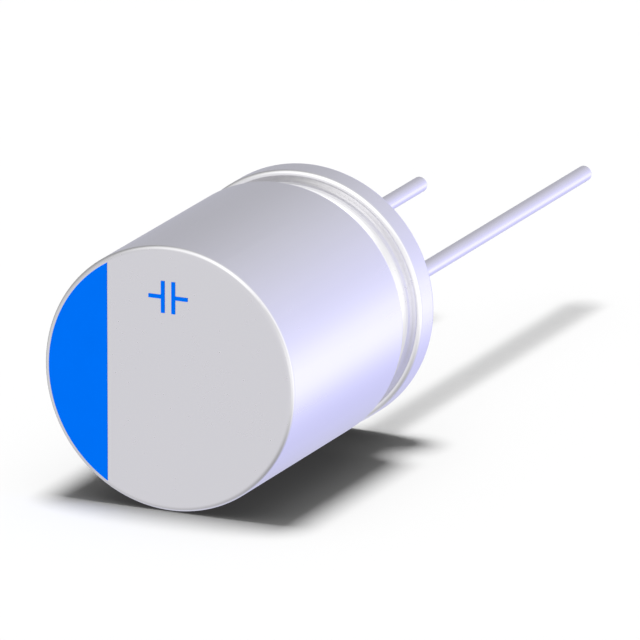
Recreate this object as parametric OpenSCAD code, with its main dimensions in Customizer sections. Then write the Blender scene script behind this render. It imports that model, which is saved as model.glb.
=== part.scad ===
// Radial polymer aluminium capacitor with two straight leads.
// It lies on its side. The marked end faces -Y, the leads run along +Y, and the
// origin is the centre of the seating plane, where the can's curl meets a board.

/* [Can] */
// Outside diameter of the can
can_d = 10; // [8:0.5:16]
// Length of the can, from its marked end to the seating plane
can_l = 12.5; // [11:0.5:25]
// Thickness of the can's side wall
wall_t = 0.28; // [0.2:0.01:0.32]
// Thickness of the can's closed end
end_t = 0.4; // [0.3:0.05:0.8]
// Rounding of the closed end's outer edge and of the bead's two edges
edge_r = 0.2; // [0.1:0.05:0.3]
// Rounding inside the closed end
end_inner_r = 0.25; // [0.1:0.05:0.5]

/* [Bead and curl] */
// Width of the rolled bead groove
bead_w = 1.45; // [1.2:0.05:2]
// Depth of the bead groove
bead_depth = 0.85; // [0.7:0.05:1.1]
// Rounding at the bottom of the bead groove
bead_foot_r = 0.3; // [0.1:0.05:0.4]
// Width of the rim band between the bead groove and the seating plane
rim_w = 1.4; // [1.2:0.05:2]
// Outer rounding of the curled edge
curl_r = 0.36; // [0.34:0.02:0.5]
// Diameter of the opening that the curled edge leaves
mouth_d = 7.8; // [7.4:0.1:8]

/* [Bung] */
// Depth of the bung's inner face below the seating plane
bung_depth = 3.7; // [3.5:0.1:5]
// Depth of the bung's outer face below the seating plane
bung_recess = 0.1; // [0:0.05:0.2]
// Rounding of the bung's edges
bung_edge_r = 0.2; // [0.1:0.05:0.3]
// Gap between pieces that are squeezed together
fit_gap = 0.01; // [0.005:0.005:0.02]

/* [Leads] */
// Diameter of the lead wires
lead_d = 0.6; // [0.5:0.1:0.8]
// Distance between the two leads
lead_pitch = 5; // [4.5:0.1:5.4]
// Length of the long lead beyond the seating plane
anode_lead_l = 19; // [5:1:30]
// Length of the short lead beyond the seating plane
cathode_lead_l = 15; // [4:1:28]
// Rounding of the cut end of each lead
tip_r = 0.06; // [0.02:0.01:0.1]
// Diameter of the weld bead at the root of each lead
weld_d = 0.9; // [0.8:0.05:1.2]
// Length of the weld bead at the root of each lead
weld_l = 0.45; // [0.2:0.05:0.5]

/* [Tabs] */
// Diameter of the aluminium rod that passes through the bung
rod_d = 1.3; // [1.2:0.05:1.5]
// Depth of the rod's welded end below the bung's outer face
weld_depth = 0.4; // [0.3:0.05:0.6]
// Width of the flattened tab
tab_w = 1.5; // [1.2:0.1:1.8]
// Thickness of the flattened tab
tab_t = 0.22; // [0.15:0.01:0.3]
// Length over which the rod is flattened into the tab
neck_l = 0.7; // [0.5:0.1:1]
// Distance from the tab's end to the foil's lower edge
tab_margin = 0.5; // [0.2:0.1:2]

/* [Wound element] */
// Diameter of the hole left by the winding pin
core_d = 1.2; // [1:0.1:1.6]
// Thickness of the anode foil
anode_foil_t = 0.1; // [0.08:0.01:0.12]
// Thickness of the cathode foil
cathode_foil_t = 0.05; // [0.03:0.01:0.08]
// Thickness of each separator
separator_t = 0.05; // [0.03:0.01:0.08]
// Gap between neighbouring turns
turn_gap = 0.01; // [0.005:0.005:0.015]
// How far the separators stand out past the foils, at each end of the roll
foil_margin = 0.3; // [0.1:0.1:0.6]
// Space left between the roll and the pieces above and below it
roll_end_gap = 0.15; // [0.05:0.05:0.4]
// Least space left between the roll and the can's side wall
roll_side_gap = 0.1; // [0.05:0.05:0.3]
// Thickness of the closing tape
tape_t = 0.05; // [0.03:0.01:0.08]
// Width of the closing tape
tape_w = 5; // [3:0.5:6]

/* [Print] */
// Thickness of the printed ink
ink_t = 0.03; // [0.02:0.01:0.05]
// Distance from the can's axis to the straight edge of the polarity mark
mark_chord = 2.45; // [2:0.05:3.5]
// Height of the circuit symbol's centre above the can's axis
symbol_rise = 3.1; // [2.5:0.1:3.4]
// Length of each plate of the circuit symbol
symbol_plate = 1.2; // [0.8:0.1:1.4]
// Distance between the two plates of the circuit symbol
symbol_gap = 0.28; // [0.2:0.02:0.4]
// Length of each connecting line of the circuit symbol
symbol_lead = 0.5; // [0.3:0.1:0.8]
// Width of the circuit symbol's lines
symbol_line = 0.14; // [0.1:0.01:0.2]

/* [Hidden] */
$fn = 96;

aluminium = [0.82, 0.82, 0.87];
ink_blue = [0.0, 0.44, 0.96];
tin = [0.80, 0.79, 0.86];
rubber = [0.13, 0.13, 0.14];
paper = [0.33, 0.27, 0.22];
tape_amber = [0.78, 0.58, 0.25];
anode_grey = [0.55, 0.55, 0.58];
cathode_grey = [0.72, 0.72, 0.75];

can_r = can_d / 2;
can_inner_r = can_r - wall_t;
mouth_r = mouth_d / 2;

// Heights are along the can's axis, from the seating plane at 0 down to the
// marked end at -can_l.
bead_top = -rim_w;
bead_bottom = bead_top - bead_w;
bead_floor_r = can_r - bead_depth;
weld_z = -bung_recess - weld_depth;
roll_top = -bung_depth - neck_l - roll_end_gap;
roll_bottom = -can_l + end_t + roll_end_gap;
foil_top = roll_top - foil_margin;
foil_bottom = roll_bottom + foil_margin;
roll_middle = (roll_top + roll_bottom) / 2;

// One layer of the roll is, from the inside out: inner separator, anode foil,
// outer separator, cathode foil. Each strip has its place in that order.
inner_separator_place = 0;
anode_place = 1;
outer_separator_place = 2;
cathode_place = 3;
layer = [separator_t, anode_foil_t, separator_t, cathode_foil_t];
function sum_to(list, count) = count <= 0 ? 0 : list[count - 1] + sum_to(list, count - 1);
function strip_offset(place) = sum_to(layer, place) + place * turn_gap;
turn_pitch = strip_offset(len(layer));

// Each tab takes up a slot just inside its own foil. The slot is widest at the
// tab and closes to nothing on the far side of the roll.
tab_gap = 2 * turn_gap;
slot_w = tab_t + 2 * tab_gap;
core_r = core_d / 2;
lead_x = lead_pitch / 2;
function nearest_turn(place) =
    round((lead_x - slot_w / 2 - core_r - strip_offset(place)) / turn_pitch);
anode_turn = nearest_turn(anode_place);
cathode_turn = nearest_turn(cathode_place);

// Whole turns of foil that fit, with one more turn of separator and the tape.
roll_room = can_inner_r - roll_side_gap - core_r - slot_w - separator_t - turn_gap - tape_t;
turns = floor(roll_room / turn_pitch) - 1;

// Half turns are counted from 0 at the core. The foils start one half turn after
// the separators, and the anode foil ends one half turn before the cathode foil.
foil_start = 1;
foil_end = 2 * turns - 1;

// Distance from the axis at which a strip crosses the plane of the two leads,
// on the anode's side and on the cathode's side, in its given turn.
function order(turn, place) = turn * len(layer) + place;
function crossing(turn, place, tab_turn, tab_place) =
    core_r + turn * turn_pitch + strip_offset(place)
    + (order(turn, place) >= order(tab_turn, tab_place) ? slot_w : 0);
function anode_side(turn, place) = crossing(turn, place, anode_turn, anode_place);
function cathode_side(turn, place) = crossing(turn, place, cathode_turn, cathode_place);

// Turns an upright shape, drawn along +Z, to lie along +Y.
module lay_down() {
    rotate([-90, 0, 0]) children();
}

// Draws a flat shape as ink on the marked end, seen from -Y with +Z up.
module print_on_end() {
    translate([0, -can_l, 0]) rotate([90, 0, 0]) linear_extrude(ink_t) children();
}

// Half section of a round bar from low to high, with its two outer edges rounded.
module bar_section(radius, low, high, low_r, high_r) {
    translate([0, low + low_r]) square([radius, high - low - low_r - high_r]);
    translate([0, low]) square([radius - low_r, low_r * 2]);
    translate([0, high - high_r * 2]) square([radius - high_r, high_r * 2]);
    translate([radius - low_r, low + low_r]) circle(low_r);
    translate([radius - high_r, high - high_r]) circle(high_r);
}

// Half section of the bead groove, grown on every side. Grown by the wall it is
// the ridge inside the can, and with the fit gap it is the waist of the bung.
module bead_section(grow) {
    floor_r = bead_floor_r - grow;
    foot_r = bead_foot_r + grow;
    low = bead_bottom - grow;
    high = bead_top + grow;
    translate([floor_r + foot_r, low]) square([can_r, high - low]);
    translate([floor_r, low + foot_r]) square([can_r, high - low - 2 * foot_r]);
    for (z = [low + foot_r, high - foot_r])
        translate([floor_r + foot_r, z]) circle(foot_r);
}

module can_outer_section() {
    bar_section(can_r, -can_l, bead_bottom, edge_r, edge_r);
    bar_section(can_r, bead_top, 0, edge_r, curl_r);
    difference() {
        translate([0, bead_bottom - edge_r]) square([can_r - edge_r, bead_w + 2 * edge_r]);
        bead_section(0);
    }
}

module can_inner_section() {
    lip_r = mouth_r + wall_t / 2;
    difference() {
        bar_section(can_inner_r, -can_l + end_t, -wall_t, end_inner_r, curl_r - wall_t);
        bead_section(wall_t);
    }
    translate([0, -2 * wall_t]) square([lip_r, 3 * wall_t]);
}

module can() {
    color(aluminium) lay_down() rotate_extrude() {
        difference() {
            can_outer_section();
            can_inner_section();
        }
        translate([mouth_r + wall_t / 2, -wall_t / 2]) circle(wall_t / 2);
    }
}

module polarity_mark() {
    color(ink_blue) print_on_end() intersection() {
        circle(can_r - edge_r);
        translate([-can_r - mark_chord, -can_r]) square([can_r, can_d]);
    }
}

// Two parallel plates, each with its connecting line.
module circuit_symbol() {
    color(ink_blue) print_on_end() translate([0, symbol_rise])
        for (side = [0, 1]) mirror([side, 0]) translate([symbol_gap / 2, 0]) {
            translate([0, -symbol_plate / 2]) square([symbol_line, symbol_plate]);
            translate([0, -symbol_line / 2]) square([symbol_lead + symbol_line, symbol_line]);
        }
}

module sealing_bung() {
    shoulder_r = max(bung_edge_r, curl_r - wall_t);
    color(rubber) lay_down() difference() {
        rotate_extrude() {
            difference() {
                bar_section(can_inner_r - fit_gap, -bung_depth, -wall_t - fit_gap,
                    bung_edge_r, shoulder_r);
                bead_section(wall_t + fit_gap);
            }
            translate([0, -rim_w]) square([mouth_r - fit_gap, rim_w - bung_recess]);
        }
        for (x = [-lead_x, lead_x])
            translate([x, 0, -bung_depth - 1])
                cylinder(r = rod_d / 2 + fit_gap, h = bung_depth + 2);
    }
}

// A lead wire from its weld to its cut end, beyond the seating plane by length.
module lead_wire(x, length) {
    lay_down() translate([x, 0, 0]) {
        rotate_extrude() bar_section(lead_d / 2, weld_z, length, tip_r, tip_r);
        translate([0, 0, weld_z]) cylinder(r1 = weld_d / 2, r2 = lead_d / 2, h = weld_l);
    }
}

module anode_lead_wire() {
    color(tin) lead_wire(lead_x, anode_lead_l);
}

module cathode_lead_wire() {
    color(tin) lead_wire(-lead_x, cathode_lead_l);
}

// The aluminium rod in the bung, flattened below it into a strip that is bent to
// the curve of the turns. slot_r is the outer radius of the strip's slot.
module tab(slot_r) {
    strip_outer_r = slot_r - tab_gap;
    strip_inner_r = strip_outer_r - tab_t;
    strip_bottom = foil_bottom + tab_margin;
    strip_top = roll_top + roll_end_gap / 2;
    half_angle = tab_w / (strip_inner_r + strip_outer_r) * 180 / PI;
    chord = 2 * strip_inner_r * sin(half_angle);
    lay_down() {
        translate([lead_x, 0, -bung_depth])
            cylinder(r = rod_d / 2, h = weld_z + bung_depth);
        hull() {
            translate([lead_x, 0, -bung_depth])
                cylinder(r = rod_d / 2, h = fit_gap, $fn = 32);
            translate([strip_inner_r * cos(half_angle), -chord / 2, strip_top - fit_gap])
                cube([strip_outer_r - strip_inner_r * cos(half_angle), chord, fit_gap]);
        }
        rotate_extrude(angle = 2 * half_angle, start = -half_angle)
            translate([strip_inner_r, strip_bottom])
                square([tab_t, strip_top - strip_bottom]);
    }
}

module anode_tab() {
    color(aluminium) tab(anode_side(anode_turn, anode_place));
}

module cathode_tab() {
    color(aluminium) mirror([1, 0, 0]) tab(cathode_side(cathode_turn, cathode_place));
}

// One strip of the roll. Its turns are half rings that meet in the plane of the
// two leads: even half turns run from the anode's side to the cathode's side,
// and odd ones run back, one turn further out.
module wound_strip(place, first_half, last_half, thickness, low, high) {
    lay_down() for (half = [first_half:last_half]) {
        odd = half % 2;
        turn = (half - odd) / 2;
        right = anode_side(turn + odd, place);
        left = cathode_side(turn, place);
        translate([(right - left) / 2, 0, 0]) rotate([0, 0, odd * 180])
            rotate_extrude(angle = 180)
                translate([(right + left) / 2, low]) square([thickness, high - low]);
    }
}

module anode_foil() {
    color(anode_grey)
        wound_strip(anode_place, foil_start, foil_end - 1, anode_foil_t, foil_bottom, foil_top);
}

module cathode_foil() {
    color(cathode_grey)
        wound_strip(cathode_place, foil_start, foil_end, cathode_foil_t, foil_bottom, foil_top);
}

module inner_separator() {
    color(paper)
        wound_strip(inner_separator_place, 0, foil_end + 2, separator_t, roll_bottom, roll_top);
}

module outer_separator() {
    color(paper)
        wound_strip(outer_separator_place, 0, foil_end, separator_t, roll_bottom, roll_top);
}

module closing_tape() {
    color(tape_amber)
        wound_strip(anode_place, foil_end + 1, foil_end + 2, tape_t,
            roll_middle - tape_w / 2, roll_middle + tape_w / 2);
}

can();
polarity_mark();
circuit_symbol();
sealing_bung();
anode_lead_wire();
cathode_lead_wire();
anode_tab();
cathode_tab();
anode_foil();
cathode_foil();
inner_separator();
outer_separator();
closing_tape();
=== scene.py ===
import math
import bpy
import bmesh
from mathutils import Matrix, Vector


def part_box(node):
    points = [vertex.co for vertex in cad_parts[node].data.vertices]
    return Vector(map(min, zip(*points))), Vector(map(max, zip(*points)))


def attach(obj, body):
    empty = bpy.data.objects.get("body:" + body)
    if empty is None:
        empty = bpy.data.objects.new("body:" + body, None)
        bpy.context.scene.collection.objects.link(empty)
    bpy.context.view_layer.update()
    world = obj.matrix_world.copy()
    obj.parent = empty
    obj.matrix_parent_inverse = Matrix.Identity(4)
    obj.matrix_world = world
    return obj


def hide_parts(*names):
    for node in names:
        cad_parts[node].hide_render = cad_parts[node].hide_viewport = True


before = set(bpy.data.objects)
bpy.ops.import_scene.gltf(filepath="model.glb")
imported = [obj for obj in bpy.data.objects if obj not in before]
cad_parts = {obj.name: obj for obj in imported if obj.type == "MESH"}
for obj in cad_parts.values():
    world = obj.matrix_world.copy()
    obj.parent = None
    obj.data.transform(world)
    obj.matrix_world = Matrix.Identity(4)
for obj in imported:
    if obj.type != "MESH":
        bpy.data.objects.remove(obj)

mm = 0.001
scene = bpy.context.scene
bpy.context.view_layer.update()
print("frame loaded,", len(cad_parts), "nodes")


# a node's output that sums and products can be written with
class Wire:
    def __init__(self, sheet, socket):
        self.sheet = sheet
        self.socket = socket

    def maths(self, operation, *others):
        values = {0: self}
        for place, other in enumerate(others):
            values[place + 1] = other
        return self.sheet.add("ShaderNodeMath", {"operation": operation}, values)

    def __add__(self, other):
        return self.maths("ADD", other)

    def __radd__(self, other):
        return self.maths("ADD", other)

    def __sub__(self, other):
        return self.maths("SUBTRACT", other)

    def __rsub__(self, other):
        return self.sheet.add("ShaderNodeMath", {"operation": "SUBTRACT"}, {0: other, 1: self})

    def __mul__(self, other):
        return self.maths("MULTIPLY", other)

    def __rmul__(self, other):
        return self.maths("MULTIPLY", other)

    def __pow__(self, other):
        return self.maths("POWER", other)

    def step(self, low, high):      # 0 below low, 1 above high, smooth between
        settings = {"interpolation_type": "SMOOTHSTEP"}
        return self.sheet.add("ShaderNodeMapRange", settings,
                              {"Value": self, "From Min": low, "From Max": high})


class Sheet:        # the nodes of one material or of the world
    def __init__(self, owner):
        owner.use_nodes = True
        self.tree = owner.node_tree
        self.tree.nodes.clear()

    def add(self, kind, settings=None, values=None, output=0):
        node = self.tree.nodes.new(kind)
        for name, setting in (settings or {}).items():
            if name == "stops":
                self.setStops(node.color_ramp, setting)
            else:
                setattr(node, name, setting)
        for name, value in (values or {}).items():
            self.plug(node, name, value)
        return Wire(self, node.outputs[output]) if len(node.outputs) else None

    def plug(self, node, name, value):
        named = [s for s in node.inputs if name in (s.identifier, s.name)]
        socket = node.inputs[name] if isinstance(name, int) else named[0]
        if isinstance(value, Wire):
            self.tree.links.new(value.socket, socket)
        else:
            socket.default_value = value

    def setStops(self, ramp, stops):
        while len(ramp.elements) < len(stops):
            ramp.elements.new(1.0)
        for element, (place, colour) in zip(ramp.elements, stops):
            element.position = place
            element.color = colour

    def blend(self, mask, first, second):       # the first colour where the mask is 0
        return self.add("ShaderNodeMix", {"data_type": "RGBA"},
                        {"Factor_Float": mask, "A_Color": first, "B_Color": second}, output=2)

    def uneven(self, mask, colour, spread):     # a little darker and lighter than the colour
        return self.blend(mask, shade(colour, 1 - spread), shade(colour, 1 + spread))

    def stretch(self, vector, scale):
        return self.add("ShaderNodeVectorMath", {"operation": "MULTIPLY"}, {0: vector, 1: scale})

    def place(self):        # the point on the surface, in millimetres
        spot = self.add("ShaderNodeTexCoord", output=3)
        return self.stretch(spot, (1 / mm, 1 / mm, 1 / mm))

    def noise(self, vector, scale, detail=3.0, roughness=0.5):
        return self.add("ShaderNodeTexNoise", {}, {
            "Vector": vector, "Scale": scale, "Detail": detail, "Roughness": roughness})

    def bump(self, height, distance, strength=1.0):
        return self.add("ShaderNodeBump", {}, {
            "Height": height, "Distance": distance, "Strength": strength})

    def finish(self, values):       # the one surface shader
        shader = self.add("ShaderNodeBsdfPrincipled", {}, values)
        self.add("ShaderNodeOutputMaterial", {}, {"Surface": shader})


def shade(colour, factor=1.0):
    return (colour[0] * factor, colour[1] * factor, colour[2] * factor, 1.0)


def newSheet(name):
    material = bpy.data.materials.new(name)
    return material, Sheet(material)


drawnAluminium = {
    "colour": (0.66, 0.655, 0.67),
    "spread": 0.02,
    "beadPaintedLight": (0.82, 0.815, 0.825),      # painted light: a lighter colour in the bead's groove, lifting the shade there
    "beadPaintedLightSpan": (-3.08, -2.98, -1.34, -1.24),    # where that painted light fades in and out along y, mm
    "roughness": 0.25,
    "lineWidth": 0.09,      # of a drawing line along the side, mm
    "lineDepth": 0.0004,    # mm
    "lineStretch": 0.01,
    "lineTone": 0.6,        # share of the lines in the colour, the rest is cloud
    "lineRoughness": 0.1,
    "side": (-12.5, -12.2),     # the drawing lines begin along y, mm
    "cloudScale": 0.35,     # per mm
    "cloudRoughness": 0.05,
}


def makeAluminium():        # impact-drawn can: fine streaks along the side, an even grain on the end, and painted light, a lighter colour in the bead's groove that lifts the shade there
    look = drawnAluminium
    material, sheet = newSheet("drawnAluminium")
    spot = sheet.place()
    along = sheet.stretch(spot, (1.0, look["lineStretch"], 1.0))
    streaks = sheet.noise(along, 1 / (2 * look["lineWidth"]), 1.0)
    cloud = sheet.noise(spot, look["cloudScale"], 4.0)
    tone = streaks * look["lineTone"] + cloud * (1 - look["lineTone"])
    drawn = sheet.uneven(tone, look["colour"], look["spread"])
    height = sheet.add("ShaderNodeSeparateXYZ", {}, {0: spot}, output=1)
    lines = streaks * height.step(*look["side"])
    start, full, fade, end = look["beadPaintedLightSpan"]
    # painted light: the groove of the bead is made lighter than the rest of the can, to lift its shade
    paintedLightMask = height.step(start, full) * (1 - height.step(fade, end))
    colour = sheet.blend(paintedLightMask, drawn, shade(look["beadPaintedLight"]))
    uneven = (streaks - 0.5) * look["lineRoughness"] + (cloud - 0.5) * look["cloudRoughness"]
    sheet.finish({
        "Base Color": colour,
        "Metallic": 1.0,
        "Roughness": look["roughness"] + uneven,
        "Normal": sheet.bump(lines, look["lineDepth"] * mm),
    })
    return material


blueInkLook = {
    "colour": (0.0, 0.162, 0.922),
    "spread": 0.03,
    "roughness": 0.55,
    # painted light: the ink glows faintly, though it is no lamp, so its blue looks flat and unshaded
    "glow": 0.5,
    "cloudScale": 1.3,      # per mm
    "grainScale": 22.0,
    "grainRoughness": 0.12,
    "grainDepth": 0.0006,   # mm
}


def makeInk():      # flat printed ink, a touch uneven in thickness; it glows faintly, painted light that keeps its blue flat and unshaded
    look = blueInkLook
    material, sheet = newSheet("blueInk")
    spot = sheet.place()
    cloud = sheet.noise(spot, look["cloudScale"], 4.0)
    grain = sheet.noise(spot, look["grainScale"], 2.0)
    colour = sheet.uneven(cloud, look["colour"], look["spread"])
    sheet.finish({
        "Base Color": colour,
        "Roughness": look["roughness"] + (grain - 0.5) * look["grainRoughness"],
        "Specular IOR Level": 0.0,
        # the glow is painted light, lifting the ink's colour as if no shade fell on it
        "Emission Color": colour,
        "Emission Strength": look["glow"],
        "Normal": sheet.bump(grain, look["grainDepth"] * mm),
    })
    return material


tinPlate = {
    "colour": (0.66, 0.65, 0.69),
    "spread": 0.03,
    "roughness": 0.25,
    "lineScale": 24.0,      # per mm, round the wire
    "lineStretch": 0.04,
    "lineDepth": 0.0006,    # mm
    "cloudScale": 1.1,
    "unevenness": 0.06,     # of the roughness
}


def makeTin():      # soft bright tin, with faint drawing lines along the wire
    look = tinPlate
    material, sheet = newSheet("tinPlate")
    spot = sheet.place()
    lines = sheet.noise(sheet.stretch(spot, (1.0, look["lineStretch"], 1.0)), look["lineScale"], 2.0)
    cloud = sheet.noise(spot, look["cloudScale"], 3.0)
    sheet.finish({
        "Base Color": sheet.uneven(cloud, look["colour"], look["spread"]),
        "Metallic": 1.0,
        "Roughness": look["roughness"] + (lines + cloud - 1.0) * look["unevenness"],
        "Normal": sheet.bump(lines, look["lineDepth"] * mm),
    })
    return material


mouldedRubber = {
    "colour": (0.018, 0.018, 0.019),
    "roughness": 0.62,
    "bloomColour": (0.036, 0.035, 0.034),
    "bloomScale": 0.8,      # per mm
    "bloomFrom": (0.45, 0.75),
    "bloomRoughness": 0.15,
    "grainScale": 9.0,
    "grainDepth": 0.008,    # mm
}


def makeRubber():       # dull, with a fine grain and a little bloom
    look = mouldedRubber
    material, sheet = newSheet("bungRubber")
    spot = sheet.place()
    grain = sheet.noise(spot, look["grainScale"], 5.0, 0.6)
    bloom = sheet.noise(spot, look["bloomScale"], 3.0).step(*look["bloomFrom"])
    sheet.finish({
        "Base Color": sheet.blend(bloom, shade(look["colour"]), shade(look["bloomColour"])),
        "Roughness": look["roughness"] + bloom * look["bloomRoughness"],
        "Normal": sheet.bump(grain, look["grainDepth"] * mm, 0.7),
    })
    return material


pressedTabs = {
    "hollow": (0.70, 0.70, 0.72),
    "crest": (0.80, 0.80, 0.82),
    "roughness": 0.36,
    "unevenness": 0.2,
    "dentScale": 3.5,       # per mm
    "dentDepth": 0.006,     # mm
}


def makePressedAluminium():     # rods and tabs, pressed between dies
    look = pressedTabs
    material, sheet = newSheet("pressedAluminium")
    dents = sheet.noise(sheet.place(), look["dentScale"], 3.0)
    sheet.finish({
        "Base Color": sheet.blend(dents, shade(look["hollow"]), shade(look["crest"])),
        "Metallic": 1.0,
        "Roughness": look["roughness"] + (dents - 0.5) * look["unevenness"],
        "Normal": sheet.bump(dents, look["dentDepth"] * mm),
    })
    return material


etchedFoil = {
    "pitColour": (0.24, 0.24, 0.26),
    "crestColour": (0.36, 0.36, 0.38),
    "pit": 0.03,            # width, mm
    "pitDepth": 0.002,      # mm
    "roughness": 0.6,
}
plainFoil = {
    "pitColour": (0.44, 0.44, 0.47),
    "crestColour": (0.56, 0.56, 0.58),
    "pit": 0.05,
    "pitDepth": 0.002,
    "roughness": 0.5,
}
foilRoll = {
    "stretch": (0.2, 6.0, 0.2),     # the mill's bands run along the strip
    "roughness": 0.1,
    "metal": 0.85,          # the oxide dulls it
}


def makeFoil(name, look):       # dull, with fine pits
    material, sheet = newSheet(name)
    spot = sheet.place()
    pits = sheet.noise(spot, 1 / look["pit"], 3.0, 0.7)
    roll = sheet.noise(sheet.stretch(spot, foilRoll["stretch"]), 1.0, 2.0)
    sheet.finish({
        "Base Color": sheet.blend(pits, shade(look["pitColour"]), shade(look["crestColour"])),
        "Metallic": foilRoll["metal"],
        "Roughness": look["roughness"] + (roll - 0.5) * foilRoll["roughness"],
        "Normal": sheet.bump(pits, look["pitDepth"] * mm),
    })
    return material


polymerPaper = {
    "soaked": (0.045, 0.034, 0.028),
    "damp": (0.10, 0.075, 0.055),
    "fibre": (0.16, 0.12, 0.09),
    "soakScale": 0.9,       # per mm
    "fibreScale": 5.0,
    "fibreStretch": (1.0, 4.0, 1.0),
    "fibreFrom": (0.45, 0.7),
    "fibreDepth": 0.006,    # mm
    "roughness": 0.85,
}


def makePaper():        # fibre paper, dark where the polymer has soaked in
    look = polymerPaper
    material, sheet = newSheet("polymerPaper")
    spot = sheet.place()
    fibres = sheet.noise(sheet.stretch(spot, look["fibreStretch"]), look["fibreScale"], 5.0, 0.7)
    soak = sheet.noise(spot, look["soakScale"], 3.0)
    damp = sheet.blend(soak, shade(look["soaked"]), shade(look["damp"]))
    sheet.finish({
        "Base Color": sheet.blend(fibres.step(*look["fibreFrom"]), damp, shade(look["fibre"])),
        "Roughness": look["roughness"],
        "Normal": sheet.bump(fibres, look["fibreDepth"] * mm),
    })
    return material


amberTape = {
    "dark": (0.52, 0.25, 0.045),
    "light": (0.66, 0.35, 0.08),
    "roughness": 0.24,
    "unevenness": 0.1,
    "coat": 0.3,
    "waveScale": 0.7,       # per mm
    "waveDepth": 0.01,      # mm
}


def makeTape():     # thin glossy film
    look = amberTape
    material, sheet = newSheet("amberTape")
    waves = sheet.noise(sheet.place(), look["waveScale"], 2.0)
    sheet.finish({
        "Base Color": sheet.blend(waves, shade(look["dark"]), shade(look["light"])),
        "Roughness": look["roughness"] + (waves - 0.5) * look["unevenness"],
        "Coat Weight": look["coat"],
        "Normal": sheet.bump(waves, look["waveDepth"] * mm),
    })
    return material


aluminium = makeAluminium()
blueInk = makeInk()
tin = makeTin()
rubber = makeRubber()
pressedAluminium = makePressedAluminium()
print("finishes made")


def arc(centre, radius, start, end, steps):
    angles = [math.radians(start + (end - start) * i / steps) for i in range(steps + 1)]
    return [(centre[0] + radius * math.cos(a), centre[1] + radius * math.sin(a)) for a in angles]


def withGrips(outline, grip):       # a ring close to each end of a straight run keeps it straight
    kept = [outline[0]]
    for before, after in zip(outline, outline[1:]):
        length = math.dist(before, after)
        if length > 4 * grip:
            for share in (grip / length, 1 - grip / length):
                spot = tuple(b + (a - b) * share for b, a in zip(before, after))
                if spot[0] > 2 * grip:
                    kept.append(spot)
        kept.append(after)
    return kept


def meshPiece(name, points, faces):
    mesh = bpy.data.meshes.new(name)
    mesh.from_pydata(points, [], faces)
    tidy = bmesh.new()
    tidy.from_mesh(mesh)
    bmesh.ops.recalc_face_normals(tidy, faces=tidy.faces)
    tidy.to_mesh(mesh)
    tidy.free()
    piece = bpy.data.objects.new(name, mesh)
    scene.collection.objects.link(piece)
    return piece


def turned(name, outline, rings, axisX=0.0):        # the outline starts and ends on the axis
    points, rows = [], []
    for radius, y in outline:
        count = 1 if radius < 1e-9 else rings
        rows.append(range(len(points), len(points) + count))
        for i in range(count):
            a = 2 * math.pi * i / rings
            points.append((axisX + radius * math.cos(a), y, radius * math.sin(a)))
    faces = []
    for low, high in zip(rows, rows[1:]):
        for i in range(rings):
            j = (i + 1) % rings
            corners = [low[i % len(low)], low[j % len(low)], high[j % len(high)], high[i % len(high)]]
            faces.append(tuple(dict.fromkeys(corners)))
    return meshPiece(name, points, faces)


sharpAngle = 32     # edges with a wider angle than this stay sharp, degrees


def dress(piece, material, slotName, *nodes):
    mesh = piece.data
    mesh.materials.clear()
    mesh.materials.append(material)
    mesh.shade_smooth()
    mesh.set_sharp_from_angle(angle=math.radians(sharpAngle))
    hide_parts(*nodes)
    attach(piece, "root")
    return piece


canLow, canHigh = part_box("can")
canRadius = round((canHigh.z - canLow.z) / 2 / mm, 2) * mm
canEnd = canLow.y
can = {
    "wall": 0.28 * mm,
    "endWall": 0.4 * mm,
    "edge": 0.2 * mm,           # rounding of the closed end and of the bead's two edges
    "endInside": 0.25 * mm,
    "rim": 1.4 * mm,            # from the seating plane to the bead
    "bead": 1.45 * mm,
    "beadDepth": 0.85 * mm,
    "beadFoot": 0.5 * mm,
    "ridge": 0.58 * mm,         # the bead's two shoulders inside the can
    "curl": 0.36 * mm,
    "mouthRadius": 3.9 * mm,
    "rings": 288,
    "roundSteps": 10,
    "curlSteps": (14, 4),       # outside and inside
    "endSteps": 5,
    "grip": 0.012 * mm,
}


def makeCan():
    wall, edge, foot, curl, steps = (can[k] for k in ("wall", "edge", "beadFoot", "curl", "roundSteps"))
    top = -can["rim"]
    bottom = top - can["bead"]
    floor = canRadius - can["beadDepth"]
    lip = can["mouthRadius"] + wall / 2
    inside = canRadius - wall
    outer = [(0, canEnd)]
    outer += arc((canRadius - edge, canEnd + edge), edge, -90, 0, steps)
    outer += arc((canRadius - edge, bottom - edge), edge, 0, 90, steps)
    outer += arc((floor + foot, bottom + foot), foot, 270, 180, steps)
    outer += arc((floor + foot, top - foot), foot, 180, 90, steps)
    outer += arc((canRadius - edge, top + edge), edge, -90, 0, steps)
    curlOut, curlIn = can["curlSteps"]
    outer += arc((canRadius - curl, -curl), curl, 0, 90, curlOut)
    outer += arc((lip, -wall / 2), wall / 2, 90, 270, steps)
    cornerIn = curl - wall
    ridge = can["ridge"]
    endIn = can["endInside"]
    inner = arc((inside - cornerIn, -wall - cornerIn), cornerIn, 90, 0, curlIn)
    inner += [(inside, top + wall)]
    inner += arc((floor - wall + ridge, top + wall - ridge), ridge, 90, 180, steps)
    inner += arc((floor - wall + ridge, bottom - wall + ridge), ridge, 180, 270, steps)
    inner += [(inside, bottom - wall)]
    inner += arc((inside - endIn, canEnd + can["endWall"] + endIn), endIn, 0, -90, can["endSteps"])
    inner += [(0, canEnd + can["endWall"])]
    piece = turned("canShell", withGrips(outer + inner, can["grip"]), can["rings"])
    return dress(piece, aluminium, "can_aluminium", "can")


makeCan()
print("can made")


inkLow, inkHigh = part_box("polarity_mark")
polarity = {
    "margin": 0.2 * mm,     # from the can's side to the ink's round edge
    "rows": 96,
    "bevel": 0.01 * mm,
}


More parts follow.
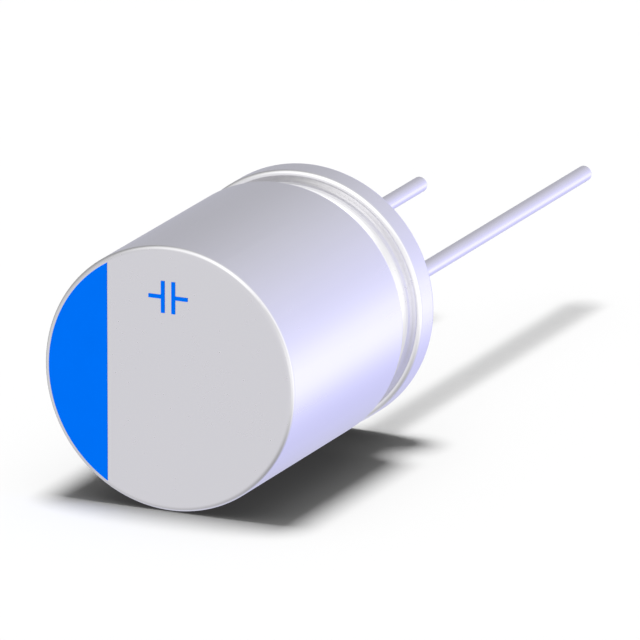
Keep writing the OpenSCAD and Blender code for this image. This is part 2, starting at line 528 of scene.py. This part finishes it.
def makePolarityMark():
    chordX = inkHigh.x
    radius = canRadius - polarity["margin"]
    tallest = math.acos(-chordX / radius)
    bevel = polarity["bevel"]
    outlines = []
    for inset, y in ((0, inkHigh.y), (0, inkLow.y + bevel), (bevel, inkLow.y)):
        chord, bow = [], []
        for i in range(polarity["rows"] + 1):
            a = tallest * (2 * i / polarity["rows"] - 1)
            z = (radius - inset) * math.sin(a) * (1 - inset / radius)
            bow.append((-(radius - inset) * math.cos(a), y, z))
            chord.append((chordX - inset, y, z))
        outlines.append((bow, chord))
    points, faces = [], []
    for bow, chord in outlines:
        points += bow + chord
    row = polarity["rows"] + 1
    layer = 2 * row
    for i in range(row - 1):
        for base in (0, 2 * layer):     # back and front, as strips from the bow to the chord
            faces.append((base + i, base + i + 1, base + row + i + 1, base + row + i))
    loop = list(range(row)) + [row + i for i in reversed(range(row))]
    for base in (0, layer):
        for i, start in enumerate(loop):
            end = loop[(i + 1) % len(loop)]
            faces.append((base + start, base + end, base + layer + end, base + layer + start))
    piece = meshPiece("polarityInk", points, faces)
    return dress(piece, blueInk, "blue_ink", "polarity_mark")


makePolarityMark()
print("print made")


leads = {
    "wire": 0.3 * mm,           # radius
    "weld": 0.45 * mm,          # radius of the weld at its root
    "weldLength": 0.45 * mm,
    "tip": 0.06 * mm,           # rounding of the cut end
    "rings": 96,
    "roundSteps": 6,
    "grip": 0.01 * mm,
}


def makeLead(name, node):
    low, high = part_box(node)
    radius, tip, steps = leads["wire"], leads["tip"], leads["roundSteps"]
    outline = [(0, low.y), (leads["weld"], low.y)]
    for i in range(1, steps + 1):       # the weld draws in towards the wire
        share = i / steps
        outline.append((leads["weld"] + (radius - leads["weld"]) * math.sin(share * math.pi / 2),
                        low.y + leads["weldLength"] * share))
    outline += arc((radius - tip, high.y - tip), tip, 0, 90, steps)
    outline += [(0, high.y)]
    axisX = (low.x + high.x) / 2
    piece = turned(name, withGrips(outline, leads["grip"]), leads["rings"], axisX)
    return dress(piece, tin, "tinned_wire", node)


makeLead("anodeLead", "anode_lead_wire")
makeLead("cathodeLead", "cathode_lead_wire")
print("leads made")


bung = {
    "gap": 0.01 * mm,           # between the rubber and the metal round it
    "recess": 0.1 * mm,         # from the seating plane to the outer face
    "depth": 3.7 * mm,
    "edge": 0.2 * mm,
    "lip": 0.09 * mm,           # rounding where the curl holds the outer face
    "hole": 0.66 * mm,          # radius
    "holeEdge": 0.13 * mm,
    "rings": 144,
    "holeRings": 64,
    "roundSteps": 8,
}


def cutHoles(piece, cutters):
    for cutter in cutters:
        cut = piece.modifiers.new("hole", "BOOLEAN")
        cut.operation = "DIFFERENCE"
        cut.object = cutter
    bpy.context.view_layer.update()
    shaped = piece.evaluated_get(bpy.context.evaluated_depsgraph_get())
    whole = piece.data
    piece.data = bpy.data.meshes.new_from_object(shaped)
    piece.modifiers.clear()
    for spent in [whole] + [cutter.data for cutter in cutters]:
        bpy.data.meshes.remove(spent)


def makeBung():
    gap, edge, lip, flare, steps = (bung[k] for k in ("gap", "edge", "lip", "holeEdge", "roundSteps"))
    face, foot = -bung["recess"], -bung["depth"]
    mouth = can["mouthRadius"] - gap
    under = -can["wall"] - gap
    side = canRadius - can["wall"] - gap
    waist = canRadius - can["beadDepth"] - can["wall"] - gap
    ridge = can["ridge"] + gap
    high = -can["rim"] + can["wall"] + gap
    low = -can["rim"] - can["bead"] - can["wall"] - gap
    outline = [(0, face)]
    outline += arc((mouth - lip, face - lip), lip, 90, 0, steps)
    outline += [(mouth, under)]
    outline += arc((side - edge, under - edge), edge, 90, 0, steps)
    outline += [(side, high)]
    outline += arc((waist + ridge, high - ridge), ridge, 90, 180, steps)
    outline += arc((waist + ridge, low + ridge), ridge, 180, 270, steps)
    outline += [(side, low)]
    outline += arc((side - edge, foot + edge), edge, 0, -90, steps)
    outline += [(0, foot)]
    piece = turned("bungRubber", withGrips(outline, can["grip"]), bung["rings"])
    hole = bung["hole"]
    trumpet = [(0, foot - edge), (hole, foot - edge)]
    trumpet += arc((hole + flare, face - flare), flare, 180, 90, steps)
    trumpet += [(hole + flare, face + edge), (0, face + edge)]
    cutters = []
    for node in ("anode_lead_wire", "cathode_lead_wire"):
        low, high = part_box(node)
        cutters.append(turned("hole", trumpet, bung["holeRings"], (low.x + high.x) / 2))
    cutHoles(piece, cutters)
    dress(piece, rubber, "bung_rubber", "sealing_bung")
    faces = [f for f in piece.data.polygons if f.normal.y > 0.9999 and f.center.y > face - gap]
    around = [key for f in faces for key in f.edge_keys]
    for line in piece.data.edges:       # the outer face keeps flat up to its edges
        line.use_edge_sharp |= around.count(line.key) == 1
    return piece


makeBung()
print("bung made")


def finishNode(node, material):
    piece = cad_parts[node]
    piece.data.materials.clear()
    piece.data.materials.append(material)


finishNode("circuit_symbol", blueInk)
finishNode("anode_tab", pressedAluminium)
finishNode("cathode_tab", pressedAluminium)
finishNode("anode_foil", makeFoil("etchedFoil", etchedFoil))
finishNode("cathode_foil", makeFoil("plainFoil", plainFoil))
paper = makePaper()
finishNode("inner_separator", paper)
finishNode("outer_separator", paper)
finishNode("closing_tape", makeTape())
print("inner pieces finished")


floorHeight = -canRadius
studio = {
    "floorSize": 6.0,       # m
    "floorColour": (0.8, 0.8, 0.8),
    "floorGrain": 2.5,      # per mm
    "grainDepth": 0.0004,   # mm
    "sunStrength": 3.05,
    "sunAngle": 19.0,       # how wide the lamp looks from the floor, degrees
    "sunHeading": (0.05, -0.08, -1.0),      # nearly straight down
    "fill": (0.09, 0.09, 0.09),         # dim light on dull surfaces, so the shadow stays deep
    "dome": (1.0, 1.0, 1.0),            # soft light round the lamp, for a wide edge to the shadow
    "domeSharpness": 8,
    "bounce": (0.9, 0.9, 0.9),          # light that the floor sends up to them
    "horizon": (-0.05, 0.0),            # where the bounce gives way to the fill
    "tent": (0.43, 0.43, 0.43),         # even grey tent that the metal mirrors
    # softboxes on the tent: azimuth from +Y towards +X, elevation, sharpness, colour
    "boxes": {
        "backWash": (27, 7, 2, (0.49, 0.49, 0.55)),
        "violetGlow": (23, -18, 4, (0.12, 0.12, 0.62)),
        "key": (27, -12, 40, (0.53, 0.53, 0.34)),
        "right": (80, -12, 8, (0.95, 0.95, 0.95)),
        "rightTop": (76, 34, 8, (0.75, 0.75, 0.75)),
        "frontRight": (124, -2, 8, (0.8, 0.8, 0.8)),
        "front": (-175, -8, 2, (0.61, 0.605, 0.65)),
        "frontTop": (140, 58, 10, (1.0, 1.0, 1.0)),
        "top": (40, 78, 8, (0.9, 0.9, 0.9)),
        "leftTop": (-130, 56, 8, (0.9, 0.9, 0.9)),
        "left": (-100, -16, 6, (0.5, 0.5, 0.5)),
        "under": (-40, -65, 6, (0.5, 0.5, 0.6)),
    },
}


def makeFloor():
    half = studio["floorSize"] / 2
    corners = [(x * half, y * half, floorHeight) for x, y in ((-1, -1), (1, -1), (1, 1), (-1, 1))]
    floor = meshPiece("studioFloor", corners, [(0, 1, 2, 3)])
    material, sheet = newSheet("palePaper")
    grain = sheet.noise(sheet.place(), studio["floorGrain"], 3.0)
    sheet.finish({
        "Base Color": shade(studio["floorColour"]),
        "Roughness": 1.0,
        "Specular IOR Level": 0.0,
        "Normal": sheet.bump(grain, studio["grainDepth"] * mm),
    })
    floor.data.materials.append(material)
    floor.visible_glossy = False        # the tent runs on below, so the metal shows no dark band
    floor.visible_diffuse = False
    floor.visible_shadow = False
    return floor


def makeSun():
    lamp = bpy.data.lights.new("overheadLight", "SUN")
    lamp.energy = studio["sunStrength"]
    lamp.angle = math.radians(studio["sunAngle"])
    sun = bpy.data.objects.new("overheadLight", lamp)
    sun.visible_glossy = False      # the metal mirrors the tent alone
    sun.rotation_mode = "QUATERNION"
    sun.rotation_quaternion = Vector(studio["sunHeading"]).to_track_quat("-Z", "Y")
    scene.collection.objects.link(sun)
    return sun


def makeSky():
    world = bpy.data.worlds.new("studioSky")
    scene.world = world
    sheet = Sheet(world)
    heading = sheet.add("ShaderNodeTexCoord", output=0)
    mirrored = studio["tent"]
    for azimuth, elevation, sharpness, colour in studio["boxes"].values():
        a, e = math.radians(azimuth), math.radians(elevation)
        towards = (math.sin(a) * math.cos(e), math.cos(a) * math.cos(e), math.sin(e))
        facing = sheet.add("ShaderNodeVectorMath", {"operation": "DOT_PRODUCT"},
                           {0: heading, 1: towards}, output=1)
        glow = facing.maths("MAXIMUM", 0.0) ** sharpness
        box = sheet.add("ShaderNodeVectorMath", {"operation": "SCALE"}, {0: colour, "Scale": glow})
        mirrored = sheet.add("ShaderNodeVectorMath", {"operation": "ADD"}, {0: mirrored, 1: box})
    height = sheet.add("ShaderNodeSeparateXYZ", {}, {0: heading}, output=2)
    dullRay = sheet.add("ShaderNodeLightPath", output="Is Diffuse Ray")
    below = (1 - height.step(*studio["horizon"])) * dullRay
    dome = height.maths("MAXIMUM", 0.0) ** studio["domeSharpness"]
    above = sheet.add("ShaderNodeVectorMath", {"operation": "SCALE"}, {0: studio["dome"], "Scale": dome})
    above = sheet.add("ShaderNodeVectorMath", {"operation": "ADD"}, {0: studio["fill"], 1: above})
    soft = sheet.blend(below, above, shade(studio["bounce"]))
    glossy = sheet.add("ShaderNodeLightPath", output="Is Glossy Ray")
    dull = sheet.add("ShaderNodeLightPath", output="Diffuse Depth").maths("MINIMUM", 1.0)
    colour = sheet.blend(glossy * (1 - dull), soft, mirrored)
    backdrop = sheet.add("ShaderNodeBackground", {}, {"Color": colour})
    sheet.add("ShaderNodeOutputWorld", {}, {"Surface": backdrop})
    return world


viewpoint = {
    "azimuth": 24.85,
    "elevation": 16.27,
    "distance": 0.645,
    "lens": 1000.0,         # long, so that parallel edges stay parallel
    "sensor": 36.0,
    "nearest": 0.01,
    "farthest": 10.0,
    "right": 5.505 * mm,        # aim, from the centre of the marked end
    "up": 2.163 * mm,
}


def makeCamera():
    a, e = math.radians(viewpoint["azimuth"]), math.radians(viewpoint["elevation"])
    back = Vector((math.sin(a) * math.cos(e), -math.cos(a) * math.cos(e), math.sin(e)))
    right = Vector((math.cos(a), math.sin(a), 0))
    aim = Vector((0, canEnd, 0)) + right * viewpoint["right"] + back.cross(right) * viewpoint["up"]
    lens = bpy.data.cameras.new("mainCamera")
    lens.lens = viewpoint["lens"]
    lens.sensor_width = viewpoint["sensor"]
    lens.clip_start = viewpoint["nearest"]
    lens.clip_end = viewpoint["farthest"]
    camera = bpy.data.objects.new("mainCamera", lens)
    camera.location = aim + back * viewpoint["distance"]
    camera.rotation_mode = "QUATERNION"
    camera.rotation_quaternion = (-back).to_track_quat("-Z", "Y")
    scene.collection.objects.link(camera)
    scene.camera = camera


makeFloor()
makeSun()
makeSky()
makeCamera()
scene.view_settings.view_transform = "Standard"
print("studio made")

bpy.context.view_layer.update()
